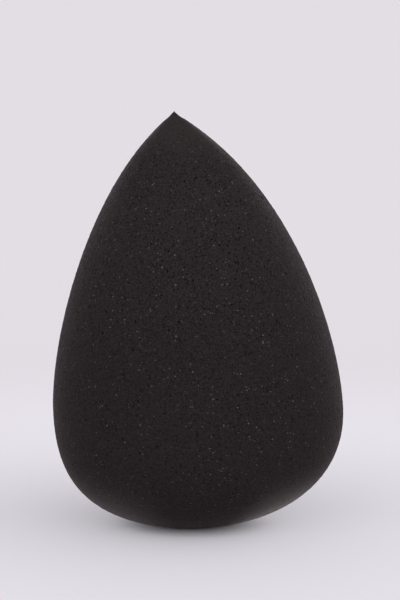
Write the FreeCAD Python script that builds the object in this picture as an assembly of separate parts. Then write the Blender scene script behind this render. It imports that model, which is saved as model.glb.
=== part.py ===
# Makeup sponge: one teardrop of fine open-cell foam, cut in one piece, that stands on a small flat foot.
#
# Every level slice of the sponge is a circle. The radii of the slices follow a profile that runs flat out from
# the foot, turns up round the belly and closes in to a pointed tip. The centres of the slices follow a spine:
# the foam is cut by eye, so the belly stands a little to one side of the foot and the tip leans to the other.
# The origin is the middle of the foot, +Z points up to the tip, and the tip leans towards -X.

import FreeCAD, Part
import math
import os

# Profile, in millimetres and degrees
HEIGHT = 60.0  # from the foot to the tip
BELLY_DIAMETER = 42.2  # of the widest slice
BELLY_HEIGHT = 16.7  # of the widest slice above the foot
FOOT_DIAMETER = 9.6  # of the flat that it stands on
FOOT_RISE_ANGLE = 8.0  # between the floor and the underside where it leaves the foot
UNDERSIDE_REACH = 11.2  # how far the underside runs on at that angle before it turns up
FLANK_REACH = 9.7  # how far the flank runs straight up from the belly before it closes in
TIP_HALF_ANGLE = 55.8  # between the tip's own axis and its side
TIP_REACH = 18.4  # how far the tip's side runs on at that angle before it bends into the flank

# Spine, in millimetres and degrees: where the slices are centred, along X
UNDERSIDE_SHIFT = -0.4  # of the slices just above the foot
BELLY_SHIFT = 1.1  # of the widest slice
BELLY_LEAN_ANGLE = 2.0  # of the spine at the belly, towards -X
TIP_SHIFT = -2.4  # of the tip
TIP_LEAN_ANGLE = 13.7  # of the spine at the tip, towards -X

# A circle as a rational curve of four quarter arcs: its control points stand on a square around it, the corners
# with a lesser weight than the middles of the sides.
CIRCLE_SQUARE = [(1, 0), (1, 1), (0, 1), (-1, 1), (-1, 0), (-1, -1), (0, -1), (1, -1), (1, 0)]
CORNER_WEIGHT = math.sqrt(0.5)
CIRCLE_KNOTS = [0, 1, 2, 3, 4]
CIRCLE_MULTIPLICITIES = [3, 2, 2, 2, 3]
CIRCLE_DEGREE = 2
PROFILE_DEGREE = 3
PROFILE_MULTIPLICITIES = [4, 2, 4]


def underside_reach_at_belly(underside_radius, shoulder_radius):
    """How far the underside's curve runs straight up into the belly, so that its roundness there is the flank's."""
    belly_radius = BELLY_DIAMETER / 2
    turn_below = belly_radius - underside_radius
    turn_above = belly_radius - shoulder_radius
    return FLANK_REACH * math.sqrt(turn_below / turn_above)


def profile_rings():
    """The six rings that shape the side, from the foot to the tip, as (radius, height, shift along X), and the knots.

    Two cubic spans meet at the belly. The rings just below and just above it have the belly's radius, so the side
    is upright there, and the two spans are as long as the reaches to those rings, so it runs on smoothly.
    """
    foot_radius = FOOT_DIAMETER / 2
    belly_radius = BELLY_DIAMETER / 2
    foot_rise = math.radians(FOOT_RISE_ANGLE)
    tip_half = math.radians(TIP_HALF_ANGLE)
    belly_lean = math.tan(math.radians(BELLY_LEAN_ANGLE))
    tip_lean = math.tan(math.radians(TIP_LEAN_ANGLE))

    underside_radius = foot_radius + UNDERSIDE_REACH * math.cos(foot_rise)
    shoulder_radius = TIP_REACH * math.sin(tip_half)
    shoulder_drop = TIP_REACH * math.cos(tip_half)
    reach_below = underside_reach_at_belly(underside_radius, shoulder_radius)

    foot = (foot_radius, 0.0, 0.0)
    underside = (underside_radius, UNDERSIDE_REACH * math.sin(foot_rise), UNDERSIDE_SHIFT)
    below_belly = (belly_radius, BELLY_HEIGHT - reach_below, BELLY_SHIFT + belly_lean * reach_below)
    above_belly = (belly_radius, BELLY_HEIGHT + FLANK_REACH, BELLY_SHIFT - belly_lean * FLANK_REACH)
    shoulder = (shoulder_radius, HEIGHT - shoulder_drop, TIP_SHIFT + tip_lean * shoulder_drop)
    tip = (0.0, HEIGHT, TIP_SHIFT)
    knots = [0.0, reach_below, reach_below + FLANK_REACH]
    return [foot, underside, below_belly, above_belly, shoulder, tip], knots


def side_face():
    """The sponge's whole side as one face, closed at the tip and open at the foot."""
    rings, profile_knots = profile_rings()
    poles = []
    weights = []
    for across, along in CIRCLE_SQUARE:
        corner = across != 0 and along != 0
        poles.append([FreeCAD.Vector(shift + radius * across, radius * along, height)
                      for radius, height, shift in rings])
        weights.append([CORNER_WEIGHT if corner else 1.0] * len(rings))
    surface = Part.BSplineSurface()
    surface.buildFromPolesMultsKnots(
        poles, CIRCLE_MULTIPLICITIES, PROFILE_MULTIPLICITIES, CIRCLE_KNOTS, profile_knots,
        False, False, CIRCLE_DEGREE, PROFILE_DEGREE, weights)
    return surface.toShape()


def foot_face():
    """The flat disc that the sponge stands on."""
    rim = Part.makeCircle(FOOT_DIAMETER / 2)
    return Part.Face(Part.Wire(rim))


def sponge_body():
    """The foam, as one closed solid."""
    shell = Part.makeShell([side_face(), foot_face()])
    shell.sewShape()
    solid = Part.Solid(shell)
    solid.fix(1e-4, 1e-5, 1e-3)
    return solid


def main():
    os.makedirs("parts", exist_ok=True)
    body = sponge_body()
    body.exportStep("parts/sponge_body.step")
    box = body.BoundBox
    print(f"sponge_body: {box.XLength:.2f} x {box.YLength:.2f} x {box.ZLength:.2f} mm,",
          f"{body.Volume / 1000:.2f} cm3, valid {body.isValid()}, closed {body.isClosed()}")


main()
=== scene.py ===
# %% [markdown]
# # A makeup sponge
#
# A makeup sponge is one piece of fine open-cell foam, cut to a teardrop: a pointed tip for the corners of
# the eyes and nose, a round belly for the cheeks, and a small flat foot that it stands on. It has no seam,
# no core and no moving part, so everything that there is to see is its form and the grain of its foam.
#
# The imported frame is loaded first. It holds the sponge as a plain solid, in metres, and nothing here moves
# or resizes it: the foam skin that is made below lies where the solid is and stands in for it.

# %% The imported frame
import math

import bmesh
import bpy
import numpy as np
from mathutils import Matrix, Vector
from mathutils.kdtree import KDTree


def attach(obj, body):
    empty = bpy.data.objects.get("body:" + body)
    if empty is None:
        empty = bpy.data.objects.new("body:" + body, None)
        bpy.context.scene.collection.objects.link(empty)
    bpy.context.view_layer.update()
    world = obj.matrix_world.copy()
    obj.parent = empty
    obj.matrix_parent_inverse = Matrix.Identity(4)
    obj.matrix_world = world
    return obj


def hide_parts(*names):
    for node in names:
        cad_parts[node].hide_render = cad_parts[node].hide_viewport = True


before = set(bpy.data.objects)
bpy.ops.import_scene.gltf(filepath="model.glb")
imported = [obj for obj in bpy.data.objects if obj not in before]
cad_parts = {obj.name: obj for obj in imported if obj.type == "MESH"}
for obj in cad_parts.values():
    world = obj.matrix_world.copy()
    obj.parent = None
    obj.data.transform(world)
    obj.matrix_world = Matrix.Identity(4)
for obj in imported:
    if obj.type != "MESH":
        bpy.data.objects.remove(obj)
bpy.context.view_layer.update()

MM = 0.001

# %% [markdown]
# ## The teardrop
#
# Every level slice of the sponge is a circle, so its form is told by three numbers at each height: the
# slice's radius, its height and how far its centre stands to one side. Seven rings shape them, as in the
# solid: two spans of a cubic curve, one under the belly and one above it, which meet at the belly's ring.
# The tip leans a little to the left, because such a sponge is seldom quite even.
#
# A spun profile would be the usual way to such a form, but its faces crowd together at the tip and under
# the foot. Pores need faces of one size everywhere, so the skin starts as a cube with a fine grid on each
# side, rounded to a ball and then drawn onto the teardrop.

# %% The rings of the teardrop, in millimetres and degrees
HEIGHT = 60.0
BELLY_DIAMETER = 42.2
BELLY_HEIGHT = 16.7
FOOT_DIAMETER = 9.6
FOOT_RISE_ANGLE = 8.0
UNDERSIDE_REACH = 11.2
FLANK_REACH = 9.7
TIP_HALF_ANGLE = 55.8
TIP_REACH = 18.4
UNDERSIDE_SHIFT = -0.4
BELLY_SHIFT = 1.1
BELLY_LEAN_ANGLE = 2.0
TIP_SHIFT = -2.4
TIP_LEAN_ANGLE = 13.7
FOOT_STEPS = 300
SPAN_STEPS = 1500


def span(start, first_pull, last_pull, end):
    """Points along a cubic curve between two rings, each as (radius, height, shift)."""
    t = np.linspace(0, 1, SPAN_STEPS + 1)[:, None]
    rings = [np.array(ring) for ring in (start, first_pull, last_pull, end)]
    weights = ((1 - t) ** 3, 3 * t * (1 - t) ** 2, 3 * t * t * (1 - t), t ** 3)
    return sum(weight * ring for weight, ring in zip(weights, rings))


def teardrop_profile():
    """The sponge's side from the middle of the foot to the tip, as rows of (radius, height, shift)."""
    foot_radius = FOOT_DIAMETER / 2
    belly_radius = BELLY_DIAMETER / 2
    foot_rise = math.radians(FOOT_RISE_ANGLE)
    tip_half = math.radians(TIP_HALF_ANGLE)
    belly_lean = math.tan(math.radians(BELLY_LEAN_ANGLE))
    tip_lean = math.tan(math.radians(TIP_LEAN_ANGLE))
    underside_radius = foot_radius + UNDERSIDE_REACH * math.cos(foot_rise)
    shoulder_radius = TIP_REACH * math.sin(tip_half)
    shoulder_drop = TIP_REACH * math.cos(tip_half)
    roundness = (belly_radius - underside_radius) / (belly_radius - shoulder_radius)
    reach_below = FLANK_REACH * math.sqrt(roundness)

    foot = (foot_radius, 0.0, 0.0)
    underside = (underside_radius, UNDERSIDE_REACH * math.sin(foot_rise), UNDERSIDE_SHIFT)
    below_belly = (belly_radius, BELLY_HEIGHT - reach_below, BELLY_SHIFT + belly_lean * reach_below)
    belly = (belly_radius, BELLY_HEIGHT, BELLY_SHIFT)
    above_belly = (belly_radius, BELLY_HEIGHT + FLANK_REACH, BELLY_SHIFT - belly_lean * FLANK_REACH)
    shoulder = (shoulder_radius, HEIGHT - shoulder_drop, TIP_SHIFT + tip_lean * shoulder_drop)
    tip = (0.0, HEIGHT, TIP_SHIFT)

    flat = np.linspace((0.0, 0.0, 0.0), foot, FOOT_STEPS, endpoint=False)
    lower = span(foot, underside, below_belly, belly)
    upper = span(belly, above_belly, shoulder, tip)
    return np.vstack([flat, lower, upper[1:]])


profile = teardrop_profile()
steps = np.hypot(*np.diff(profile[:, :2], axis=0).T)
bands = math.pi * (profile[1:, 0] + profile[:-1, 0]) * steps
skin_area = bands.sum()
area_below = np.concatenate([[0.0], np.cumsum(bands)]) / skin_area
print(f"profile {steps.sum():.1f} mm long, skin {skin_area:.0f} mm2")

# %% [markdown]
# ## The skin
#
# On a ball, the share of the skin below a level is simply how far up that level is. So each point of the
# ball goes to the ring of the teardrop that has the same share of the skin below it, and the faces keep one
# size from the foot to the tip. A Subdivision Surface modifier would round the cube too, but with larger
# faces in the middle of each side. The cube's six sides are also the six pieces of the UV map.

# %% A cube with a fine grid, its six sides laid out in a block of three by two
GRID = 256
CHART_COLUMNS = 3
CHART_ROWS = 2
CHART_MARGIN = 0.004
CHART_CORNERS = ((0, 0), (1, 0), (1, 1), (0, 1))


def fine_cube():
    """A cube with GRID by GRID faces on each side, and a map where each side has its own chart."""
    cube = bmesh.new()
    bmesh.ops.create_cube(cube, size=2.0)
    chart = cube.loops.layers.uv.new("OFBake")
    for number, side in enumerate(cube.faces):
        row, column = divmod(number, CHART_COLUMNS)
        for loop, (across, up) in zip(side.loops, CHART_CORNERS):
            across = CHART_MARGIN + across * (1 - 2 * CHART_MARGIN)
            up = CHART_MARGIN + up * (1 - 2 * CHART_MARGIN)
            loop[chart].uv = ((column + across) / CHART_COLUMNS, (row + up) / CHART_ROWS)
    bmesh.ops.subdivide_edges(cube, edges=cube.edges[:], cuts=GRID - 1, use_grid_fill=True)
    return cube


skin = bpy.data.meshes.new("foam_skin")
cube = fine_cube()
cube.to_mesh(skin)
cube.free()
print(f"cube: {len(skin.vertices)} vertices, {len(skin.polygons)} faces")


# %% The cube rounded to a ball and drawn onto the teardrop
def rounded(places):
    """Points of a cube moved out to a ball, evenly: each side bulges without crowding its corners."""
    square = places ** 2
    others = np.roll(square, -1, axis=1), np.roll(square, 1, axis=1)
    return places * np.sqrt(1 - (others[0] + others[1]) / 2 + others[0] * others[1] / 3)


def on_teardrop(ball):
    """Points of a ball moved to the teardrop, in millimetres."""
    share = (1 + np.clip(ball[:, 2], -1, 1)) / 2
    radius, height, shift = (np.interp(share, area_below, column) for column in profile.T)
    around = np.arctan2(ball[:, 1], ball[:, 0])
    return np.stack([shift + radius * np.cos(around), radius * np.sin(around), height], axis=1)


def places_of(mesh):
    """The places of a mesh's vertices, as rows of three numbers."""
    places = np.empty(len(mesh.vertices) * 3)
    mesh.vertices.foreach_get("co", places)
    return places.reshape(-1, 3)


def set_places(mesh, places):
    """Moves a mesh's vertices."""
    mesh.vertices.foreach_set("co", places.ravel())
    mesh.update()


set_places(skin, on_teardrop(rounded(places_of(skin))) * MM)
skin.polygons.foreach_set("use_smooth", np.ones(len(skin.polygons), bool))
print(f"skin: faces about {math.sqrt(skin_area / len(skin.polygons)):.3f} mm each way")

# %% [markdown]
# ## Open foam, and a painted floor reflection low on the sides
#
# The foam isn't alike all over. High on the flanks its cells are open and the grain is lively. Lower down
# they are closer, and at the tip closer still. Low on both sides, more on the right than on the left, the
# foam is smoother, and a reflection of the lit floor is painted on it as a pale colour. A little paler
# colour is painted at the tip too, as light from above. Weight Paint could put this on by hand. Here it is
# worked out from each vertex's height and from the side that it is on, so that one number changes it and the
# pores and the finish follow the same map.

# %% How open the skin is, and where a floor reflection is painted and the foam is smoother, by height in millimetres
OPEN_HEIGHT = (10.0, 48.0)
LOW_OPENNESS = 0.66
TIP_HEIGHT = (53.0, 58.0)
TIP_CLOSING = 0.6
# A mask for a reflection of the lit floor, painted as a pale colour low on the sides, more on the right, and
# for a little painted light at the tip. It also makes the foam there smoother and less open.
GLOW_SIDES = (
    # side (1 is the right and -1 the left), strength, where it starts and is full as cosines of the turn
    (1, 1.0, (0.38, 0.85)),
    (-1, 0.43, (0.15, 0.75)),
)
GLOW_HEIGHT = (1.0, 12.5)
GLOW_FADE = 2.0
GLOW_AT_TIP = 0.04
SMOOTH_CLOSING = 0.5


def smooth_step(value, low, high):
    """0 at low, 1 at high, and smooth between."""
    t = np.clip((value - low) / (high - low), 0, 1)
    return t * t * (3 - 2 * t)


places = places_of(skin) / MM
heights = places[:, 2]
sideways = np.cos(np.arctan2(places[:, 1], places[:, 0]))
at_tip = smooth_step(heights, *TIP_HEIGHT)
# Where the floor's reflection is painted, low on the sides, and a little painted light at the tip.
glow_and_smooth = sum(strength * smooth_step(side * sideways, *turn) for side, strength, turn in GLOW_SIDES)
glow_and_smooth *= (1 - smooth_step(heights, *GLOW_HEIGHT)) ** GLOW_FADE
glow_and_smooth += GLOW_AT_TIP * at_tip
openness = LOW_OPENNESS + (1 - LOW_OPENNESS) * smooth_step(heights, *OPEN_HEIGHT)
openness *= (1 - TIP_CLOSING * at_tip) * (1 - SMOOTH_CLOSING * glow_and_smooth)
print(f"openness {openness.min():.2f} to {openness.max():.2f}, rubbed up to {glow_and_smooth.max():.2f}")

# %% [markdown]
# ## Pores
#
# Foam is a pile of bubbles, and a cut through it slices many of them open. The larger ones show as tiny
# pits, a few tenths of a millimetre wide. A bump would shade them but leave the sponge's outline smooth, so
# they are real hollows here: each bubble is a ball whose centre lies near the skin, and every vertex inside
# it is pushed in to the ball's far wall. Smaller cells only roughen the skin.

# %% Bubbles that the cut has opened, in millimetres
SEED = 7
PORE_COUNT = 26000
PORE_RADIUS = (0.08, 0.17)
PORE_SIZE_BIAS = 4.0
PORE_SINK = (-0.1, 0.7)
PORE_JITTER = 0.05
DEEPEST_PORE = 0.20

neighbours = KDTree(len(places))
for index, place in enumerate(places):
    neighbours.insert(place, index)
neighbours.balance()

rng = np.random.default_rng(SEED)
small, large = PORE_RADIUS
radii = small + (large - small) * rng.random(PORE_COUNT) ** PORE_SIZE_BIAS
sinks = rng.uniform(*PORE_SINK, PORE_COUNT)
middles = rng.choice(len(places), PORE_COUNT, replace=False)
jitter = rng.normal(0, PORE_JITTER, (PORE_COUNT, 3))
depth = np.zeros(len(places))
for radius, sink, middle, shake in zip(radii, sinks, middles, jitter):
    for _, index, distance in neighbours.find_range(places[middle] + shake, radius):
        far_wall = math.sqrt(radius * radius - distance * distance)
        depth[index] = max(depth[index], min(far_wall - sink * radius, DEEPEST_PORE))
print(f"pores: {PORE_COUNT}, {100 * (depth > 0).mean():.1f}% of the skin, deepest {depth.max():.2f} mm")

# %% The skin pushed in, most where the foam is open
ROUGHNESS_DEPTH = 0.020


def normals_of(mesh):
    """The outward directions at a mesh's vertices, as rows of three numbers."""
    normals = np.empty(len(mesh.vertices) * 3)
    mesh.vertices.foreach_get("normal", normals)
    return normals.reshape(-1, 3)


normals = normals_of(skin)
roughness = rng.normal(0, ROUGHNESS_DEPTH, len(places))
pushed = (depth + roughness) * openness
places -= normals * pushed[:, None]
print(f"skin pushed in by {pushed.mean():.3f} mm on average")

# %% [markdown]
# ## The nib
#
# The tip isn't quite a point: it ends in a nib of foam, a fifth of a millimetre high, with a slight neck
# under it. Proportional Editing could pull it out by hand, where one vertex is moved and those around it
# follow less and less. The same fading pull is written out here, as a formula of the distance from the tip.

# %% A nib on a slight neck, in millimetres
NIB = (0.08, 0.0, 0.20)
NIB_REACH = 0.35
NECK_DEPTH = 0.04
NECK_DISTANCE = 1.2
NECK_REACH = 0.5

from_tip = np.linalg.norm(places - (TIP_SHIFT, 0, HEIGHT), axis=1)
neck = NECK_DEPTH * np.exp(-((from_tip - NECK_DISTANCE) / NECK_REACH) ** 2)
places -= normals * neck[:, None]
places += np.array(NIB) * np.exp(-from_tip / NIB_REACH)[:, None]
print(f"top of the nib: {places[:, 2].max():.2f} mm")

# %% The finished skin: nothing sinks below the foot, and its maps are kept as attributes
places[:, 2] = np.maximum(places[:, 2], 0.0)
set_places(skin, places * MM)
maps = {"pore": depth / DEEPEST_PORE, "open": openness, "glow_and_smooth": glow_and_smooth}
for name, amount in maps.items():
    layer = skin.attributes.new(name, "FLOAT", "POINT")
    layer.data.foreach_set("value", amount)
sponge = bpy.data.objects.new("foam_sponge", skin)
bpy.context.scene.collection.objects.link(sponge)
print(f"{sponge.name}: attributes", ", ".join(maps))

# %% [markdown]
# ## Shader sums
#
# A finish is built from nodes, and by hand they would be wired up in the Shader Editor. Sums are easier to
# read than chains of boxes, so one small class wraps a socket of a node tree and turns + - * and ** into
# Math nodes. Colours go through Mix nodes, because a Math node would turn them grey.


# %% A socket that takes part in sums
class Value:
    """A shader socket. A sum of values, or of values and numbers, adds its Math nodes to the tree."""

    def __init__(self, tree, socket):
        self.tree = tree
        self.socket = socket

    @classmethod
    def node(cls, tree, kind, settings, sockets, output=0):
        """A new node: its settings first, then the values or links of its sockets. Gives one output."""
        made = tree.nodes.new(kind)
        for name, setting in settings.items():
            setattr(made, name, setting)
        cls.fill(made, sockets)
        return cls(tree, made.outputs[output])

    @classmethod
    def fill(cls, made, sockets):
        """Sets the sockets of a node: a link for a shader value, a plain setting for a number or colour."""
        for name, value in sockets.items():
            if isinstance(value, cls):
                value.tree.links.new(value.socket, made.inputs[name])
            else:
                made.inputs[name].default_value = value

    def output(self, name):
        """Another output of the node that this socket is on."""
        return Value(self.tree, self.socket.node.outputs[name])

    def maths(self, operation, first, second):
        """A Math node between two values, or between a value and a number."""
        return self.node(self.tree, "ShaderNodeMath", {"operation": operation}, {0: first, 1: second})

    def __add__(self, other):
        return self.maths("ADD", self, other)

    __radd__ = __add__

    def __sub__(self, other):
        return self.maths("SUBTRACT", self, other)

    def __rsub__(self, other):
        return self.maths("SUBTRACT", other, self)

    def __mul__(self, other):
        return self.maths("MULTIPLY", self, other)

    __rmul__ = __mul__

    def __pow__(self, other):
        return self.maths("POWER", self, other)

    def __rpow__(self, other):
        return self.maths("POWER", other, self)

    def between(self, low, high):
        """0 below low, 1 above high, and straight between."""
        return self.node(self.tree, "ShaderNodeMapRange", {}, {0: self, 1: low, 2: high})

    def ramp(self, low, high):
        """0 at low, 1 at high, and smooth between. Low may be the larger of the two."""
        settings = {"interpolation_type": "SMOOTHSTEP"}
        return self.node(self.tree, "ShaderNodeMapRange", settings, {0: self, 1: low, 2: high})

    def mixed(self, first, second):
        """A colour between two colours: the first where this is 0, the second where it is 1."""
        settings = {"data_type": "RGBA"}
        return self.node(self.tree, "ShaderNodeMix", settings, {0: self, 6: first, 7: second}, output=2)


print("shader sums: + - * and **, with a number on either side")

# %% [markdown]
# ## The foam's cells
#
# Black foam isn't one black. Cut bubbles show as small round holes, whose shade is painted, no two of them
# quite as dark, and a few still have a film that lies flat to the light, whose glint is painted as a pale
# spot. They are about a fifth of a millimetre wide, less than two faces of the mesh, so they are drawn and
# not modelled. A photograph of foam could be laid on, but it would show a seam. A Voronoi texture fills
# space with points, and the distance to the nearest one makes balls. The skin cuts those balls as a blade
# cuts bubbles, so the holes come out round and of many sizes.

# %% Round holes for painted shade and a few painted glints, on the sponge's own coordinates in metres
CELL_SIZE = 0.21 * MM
CELL_RADIUS = (0.56, 0.40)
HOLE_FADE = 3.0
GLINT_SHARE = 0.08
GLINT_FADE = 5.0


def cut_cells(tree, spot, strength):
    """Two masks of round cut cells: holes, which get painted shade, each as dark as its own chance, and the
    few cells that get a painted glint.
    """
    off_centre = Value.node(tree, "ShaderNodeTexVoronoi", {}, {"Vector": spot, "Scale": 1 / CELL_SIZE})
    chance = Value.node(tree, "ShaderNodeSeparateColor", {}, {"Color": off_centre.output("Color")})
    cell = strength * off_centre.ramp(*CELL_RADIUS)
    hole = cell * chance ** HOLE_FADE
    glint = cell * chance.output("Blue").between(1 - GLINT_SHARE, 1) ** GLINT_FADE
    return hole, glint


print(f"cells: {CELL_SIZE / MM:.2f} mm apart, {100 * GLINT_SHARE:.0f}% of them may glint")

# %% [markdown]
# ## The foam's colours
#
# Between the holes the foam is lighter here and darker there, in spots as small as the cells. The pits that
# were modelled get painted shade and are darker still. Painted light from above makes the black a little
# paler towards the tip, and a painted reflection of the lit floor makes it paler low on the sides. The
# attributes say where, so the colours follow the shape without an image.

# %% Light and dark foam, painted shade in the pits, and painted light towards the tip and on the lower sides
BODY_SIZE = 0.25 * MM
BODY_DETAIL = 2.0
BODY_RANGE = (0.25, 0.75)
MIDDLE_SHADE = 0.5
PIT_SHADE_RANGE = (0.05, 0.6)
LIGHT_CELL = (0.0250, 0.0198, 0.0202, 1)
DARK_CELL = (0.0070, 0.0056, 0.0057, 1)
# Painted shade in the pits and holes.
PORE_SHADE_COLOUR = (0.0016, 0.0012, 0.0013, 1)
# Painted light from above: the foam is made paler towards the top.
TOP_LIGHT_COLOUR = (0.1080, 0.0890, 0.0960, 1)
TOP_LIGHT_SHARE = 0.075
# Painted reflection of the lit floor, laid on low on the sides and a little at the tip.
PAINTED_GLOW_COLOUR = (0.1100, 0.1015, 0.0945, 1)
# Painted highlights: pale spots where a cell's film would glint.
GLINT_COLOUR = (0.115, 0.108, 0.106, 1)


def noise(tree, spot, size, detail):
    """A soft pattern with spots of about one size, which varies round a half."""
    return Value.node(tree, "ShaderNodeTexNoise", {}, {"Vector": spot, "Scale": 1 / size, "Detail": detail})


def kept_map(tree, name):
    """One of the maps that were kept on the skin."""
    return Value.node(tree, "ShaderNodeAttribute", {"attribute_name": name}, {}, output="Fac")


def foam_shade(tree, spot, openness):
    """How light the foam is between its holes, from 0 to 1. Closed foam is more even."""
    body = noise(tree, spot, BODY_SIZE, BODY_DETAIL)
    return MIDDLE_SHADE + openness * (body.between(*BODY_RANGE) - MIDDLE_SHADE)


def foam_colour(shade, tip, glow_and_smooth, pit_shade, hole, glint):
    """The foam's colour, layer by layer: the foam, painted light towards the top, a painted reflection of
    the lit floor low on the sides, painted shade in pits and holes, and painted glints on top.
    """
    colour = (TOP_LIGHT_SHARE * tip).mixed(shade.mixed(DARK_CELL, LIGHT_CELL), TOP_LIGHT_COLOUR)
    colour = glow_and_smooth.mixed(colour, PAINTED_GLOW_COLOUR)
    colour = pit_shade.mixed(colour, PORE_SHADE_COLOUR)
    colour = hole.mixed(colour, PORE_SHADE_COLOUR)
    return glint.mixed(colour, GLINT_COLOUR)


print(f"light foam is {LIGHT_CELL[0] / DARK_CELL[0]:.1f} times as bright as dark foam")

# %% [markdown]
# ## The foam's finish
#
# Foam has almost no gloss. Seen along the surface, though, its thin cut walls catch the light like a fine
# fuzz, so the edges of the sponge look hazy and a little lighter. More gloss would give light edges too, but
# they would be bluish and show highlights. Sheen is made for fuzz, so a faint, slightly warm sheen is used,
# and the specular level is close to none. The lower sides, where the floor's reflection is painted, are also
# a little less dull than the rest.

# %% The matte black foam
CLOUD_SIZE = 9.0 * MM
CLOUD_DETAIL = 3.0
CLOUD_BASE = 0.5
UPPER_HEIGHT = (20 * MM, 62 * MM)
BUMP_STRENGTH = 0.5
BUMP_DEPTH = 0.04 * MM
DULL = 0.42
CLOUD_DULL = 0.10
TIP_DULL = 0.20
SMOOTH_GLOSS = 0.28
GLOSS_LEVEL = 0.010
HAZE = 0.040
HAZE_SPREAD = 0.34
HAZE_TINT = (1.0, 0.68, 0.76, 1)


def foam_finish():
    """The matte black foam."""
    material = bpy.data.materials.new("black_foam")
    material.use_nodes = True
    tree = material.node_tree
    spot = Value.node(tree, "ShaderNodeTexCoord", {}, {}, output="Object")
    height = Value.node(tree, "ShaderNodeSeparateXYZ", {}, {"Vector": spot}, output="Z")
    # Higher up, the foam gets painted light from above, and it is also duller.
    tip = height.ramp(*UPPER_HEIGHT)
    cloud = noise(tree, spot, CLOUD_SIZE, CLOUD_DETAIL)
    # The kept maps: how open the foam is, where a reflection of the lit floor is painted low on the sides,
    # and how deep the pits are.
    openness = kept_map(tree, "open")
    glow_and_smooth = kept_map(tree, "glow_and_smooth")
    # Painted shade in the modelled pits, darker where they are deeper.
    pit_shade = openness * kept_map(tree, "pore").ramp(*PIT_SHADE_RANGE)
    shade = foam_shade(tree, spot, openness)
    hole, glint = cut_cells(tree, spot, openness * (CLOUD_BASE + cloud))

    relief = {"Height": shade - hole, "Strength": BUMP_STRENGTH, "Distance": BUMP_DEPTH}
    Value.fill(tree.nodes["Principled BSDF"], {
        "Base Color": foam_colour(shade, tip, glow_and_smooth, pit_shade, hole, glint),
        "Roughness": DULL + CLOUD_DULL * cloud + TIP_DULL * tip - SMOOTH_GLOSS * glow_and_smooth,
        "Normal": Value.node(tree, "ShaderNodeBump", {}, relief),
        "Specular IOR Level": GLOSS_LEVEL,
        "Sheen Weight": HAZE,
        "Sheen Roughness": HAZE_SPREAD,
        "Sheen Tint": HAZE_TINT,
    })
    return material


sponge.data.materials.append(foam_finish())
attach(sponge, "root")
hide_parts("sponge_body")
print("finish:", sponge.data.materials[0].name)

# %% [markdown]
# ## The floor
#
# The sponge stands on a pale, faintly lilac sheet. Round the sponge a paler pool of lamp light is painted on
# it, as light falls where studio lamps stand close. A studio sheet is bent up behind the object to hide its
# edge.
# Here a flat one does, because it reaches so far that its edge lies beyond what the picture shows of it.

# %% A sheet of paper
# Painted pool of lamp light near the sponge; further off, the sheet's own colour.
LIT_POOL_COLOUR = (0.860, 0.829, 0.896, 1)
FLOOR_FAR = (0.768, 0.723, 0.776, 1)
LIT_POOL_REACH = (0.05, 0.16)
FLOOR_REACH = 6.0
FLOOR_SEGMENTS = 8
PAPER_GRAIN = 1.5 * MM
GRAIN_DETAIL = 2.0
GRAIN_SHADE = 0.985


def paper_finish():
    """The pale sheet's finish: a painted pool of lamp light in the middle, and a faint grain."""
    material = bpy.data.materials.new("pale_sheet")
    material.use_nodes = True
    tree = material.node_tree
    spot = Value.node(tree, "ShaderNodeTexCoord", {}, {}, output="Object")
    away = Value.node(tree, "ShaderNodeVectorMath", {"operation": "LENGTH"}, {0: spot}, output="Value")
    grain = noise(tree, spot, PAPER_GRAIN, GRAIN_DETAIL)
    near = grain.mixed(LIT_POOL_COLOUR, [GRAIN_SHADE * part for part in LIT_POOL_COLOUR])
    far = grain.mixed(FLOOR_FAR, [GRAIN_SHADE * part for part in FLOOR_FAR])
    # The painted pool of lamp light fades out into the plain sheet.
    colour = away.ramp(*LIT_POOL_REACH).mixed(near, far)
    matte = {"Base Color": colour, "Roughness": 1.0, "Specular IOR Level": 0.0}
    Value.fill(tree.nodes["Principled BSDF"], matte)
    return material


sheet = bmesh.new()
bmesh.ops.create_grid(sheet, x_segments=FLOOR_SEGMENTS, y_segments=FLOOR_SEGMENTS, size=FLOOR_REACH)
floor_mesh = bpy.data.meshes.new("pale_sheet")
sheet.to_mesh(floor_mesh)
sheet.free()
floor = bpy.data.objects.new("pale_sheet", floor_mesh)
floor.data.materials.append(paper_finish())
bpy.context.scene.collection.objects.link(floor)
print(f"floor: {2 * FLOOR_REACH:.0f} m wide")

# %% [markdown]
# ## Light
#
# A dark matte thing shows its form only where light grazes it, so it stands in a tent of six soft walls: two
# low ones in front, a higher one between them, a bright low one behind, and one on each side. The low ones
# light the flanks and the floor under the belly. Area lamps could stand in for them, but the world is
# simpler: each wall is a lobe of light that is strongest straight ahead, fades to its sides and lies between
# two heights. What the camera itself sees beyond the floor is a plain backdrop of the floor's colour.

# %% A tent of six walls
TENT_WALLS = (
    # name, azimuth in degrees, height of its foot and top as sines, strength
    ("front left", -50, 0.13, 0.31, 4.4),
    ("front right", 50, 0.13, 0.31, 4.4),
    ("high front", 0, 0.31, 0.72, 3.2),
    ("back", 180, 0.13, 0.31, 13.3),
    ("right", 90, 0.30, 0.66, 3.0),
    ("left", -90, 0.30, 0.66, 1.95),
)
WALL_FOCUS = 2
WALL_SOFTNESS = 0.05
SKY_STRENGTH = 0.05
WHITE = (1, 1, 1, 1)

world = bpy.data.worlds.new("studio")
world.use_nodes = True
sky = world.node_tree
sky.nodes.clear()
towards = Value.node(sky, "ShaderNodeTexCoord", {}, {}, output="Generated")
right = Value.node(sky, "ShaderNodeSeparateXYZ", {}, {"Vector": towards})
back = right.output("Y")
height = right.output("Z")


def above(level):
    """1 above a height and 0 below it, with a soft step."""
    return height.ramp(level - WALL_SOFTNESS, level + WALL_SOFTNESS)


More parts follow.
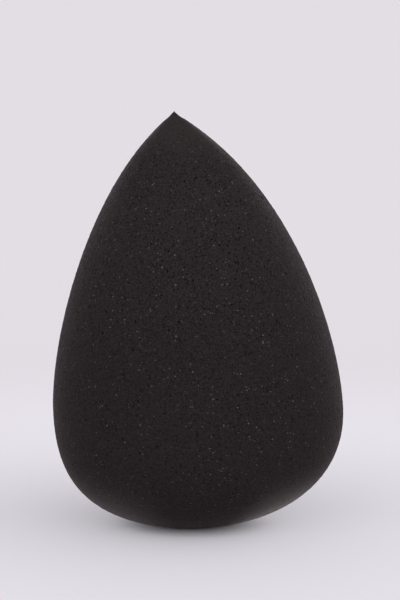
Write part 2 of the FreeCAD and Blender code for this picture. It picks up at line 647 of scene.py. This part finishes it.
def wall(azimuth, foot, top, strength):
    """One wall of the tent. Azimuth 0 is the camera's side and 90 is the right."""
    turn = math.radians(azimuth)
    facing = (math.sin(turn) * right - math.cos(turn) * back).between(0, 1)
    return strength * facing ** WALL_FOCUS * (above(foot) - above(top))


tent = sum((wall(*place) for _, *place in TENT_WALLS), start=SKY_STRENGTH)
camera_ray = Value.node(sky, "ShaderNodeLightPath", {}, {}, output="Is Camera Ray")
seen = camera_ray + camera_ray.output("Is Glossy Ray") + camera_ray.output("Is Transmission Ray")
dome = Value.node(sky, "ShaderNodeBackground", {}, {"Color": WHITE, "Strength": tent})
backdrop = Value.node(sky, "ShaderNodeBackground", {}, {"Color": FLOOR_FAR})
blend = Value.node(sky, "ShaderNodeMixShader", {}, {0: seen, 1: dome, 2: backdrop})
Value.fill(sky.nodes.new("ShaderNodeOutputWorld"), {"Surface": blend})
bpy.context.scene.world = world
print("tent:", ", ".join(name for name, *_ in TENT_WALLS))

# %% [markdown]
# ## Camera
#
# A long lens shows a thing almost without perspective, as pictures of small goods do. A short one, close
# up, would swell the belly and shrink the foot. It stands half a metre off and looks a little down, so that
# the floor shows round the foot.

# %% A long lens
CAMERA_ELEVATION = 8.0
CAMERA_DISTANCE = 500.0 * MM
CAMERA_AIM = Vector((1.37, 0.0, 32.72)) * MM
LENS = 206.9
SENSOR_WIDTH = 36.0
NEAREST_SEEN = 0.01
FARTHEST_SEEN = 20.0

camera_data = bpy.data.cameras.new("camera")
camera_data.lens = LENS
camera_data.sensor_width = SENSOR_WIDTH
camera_data.clip_start = NEAREST_SEEN
camera_data.clip_end = FARTHEST_SEEN
camera = bpy.data.objects.new("camera", camera_data)
rise = math.radians(CAMERA_ELEVATION)
away = Vector((0, -math.cos(rise), math.sin(rise)))
camera.location = CAMERA_AIM + away * CAMERA_DISTANCE
camera.rotation_euler = away.to_track_quat("Z", "Y").to_euler()
bpy.context.scene.collection.objects.link(camera)
bpy.context.scene.camera = camera
bpy.context.scene.view_settings.view_transform = "Standard"
print("camera at, mm:", [round(part / MM) for part in camera.location])
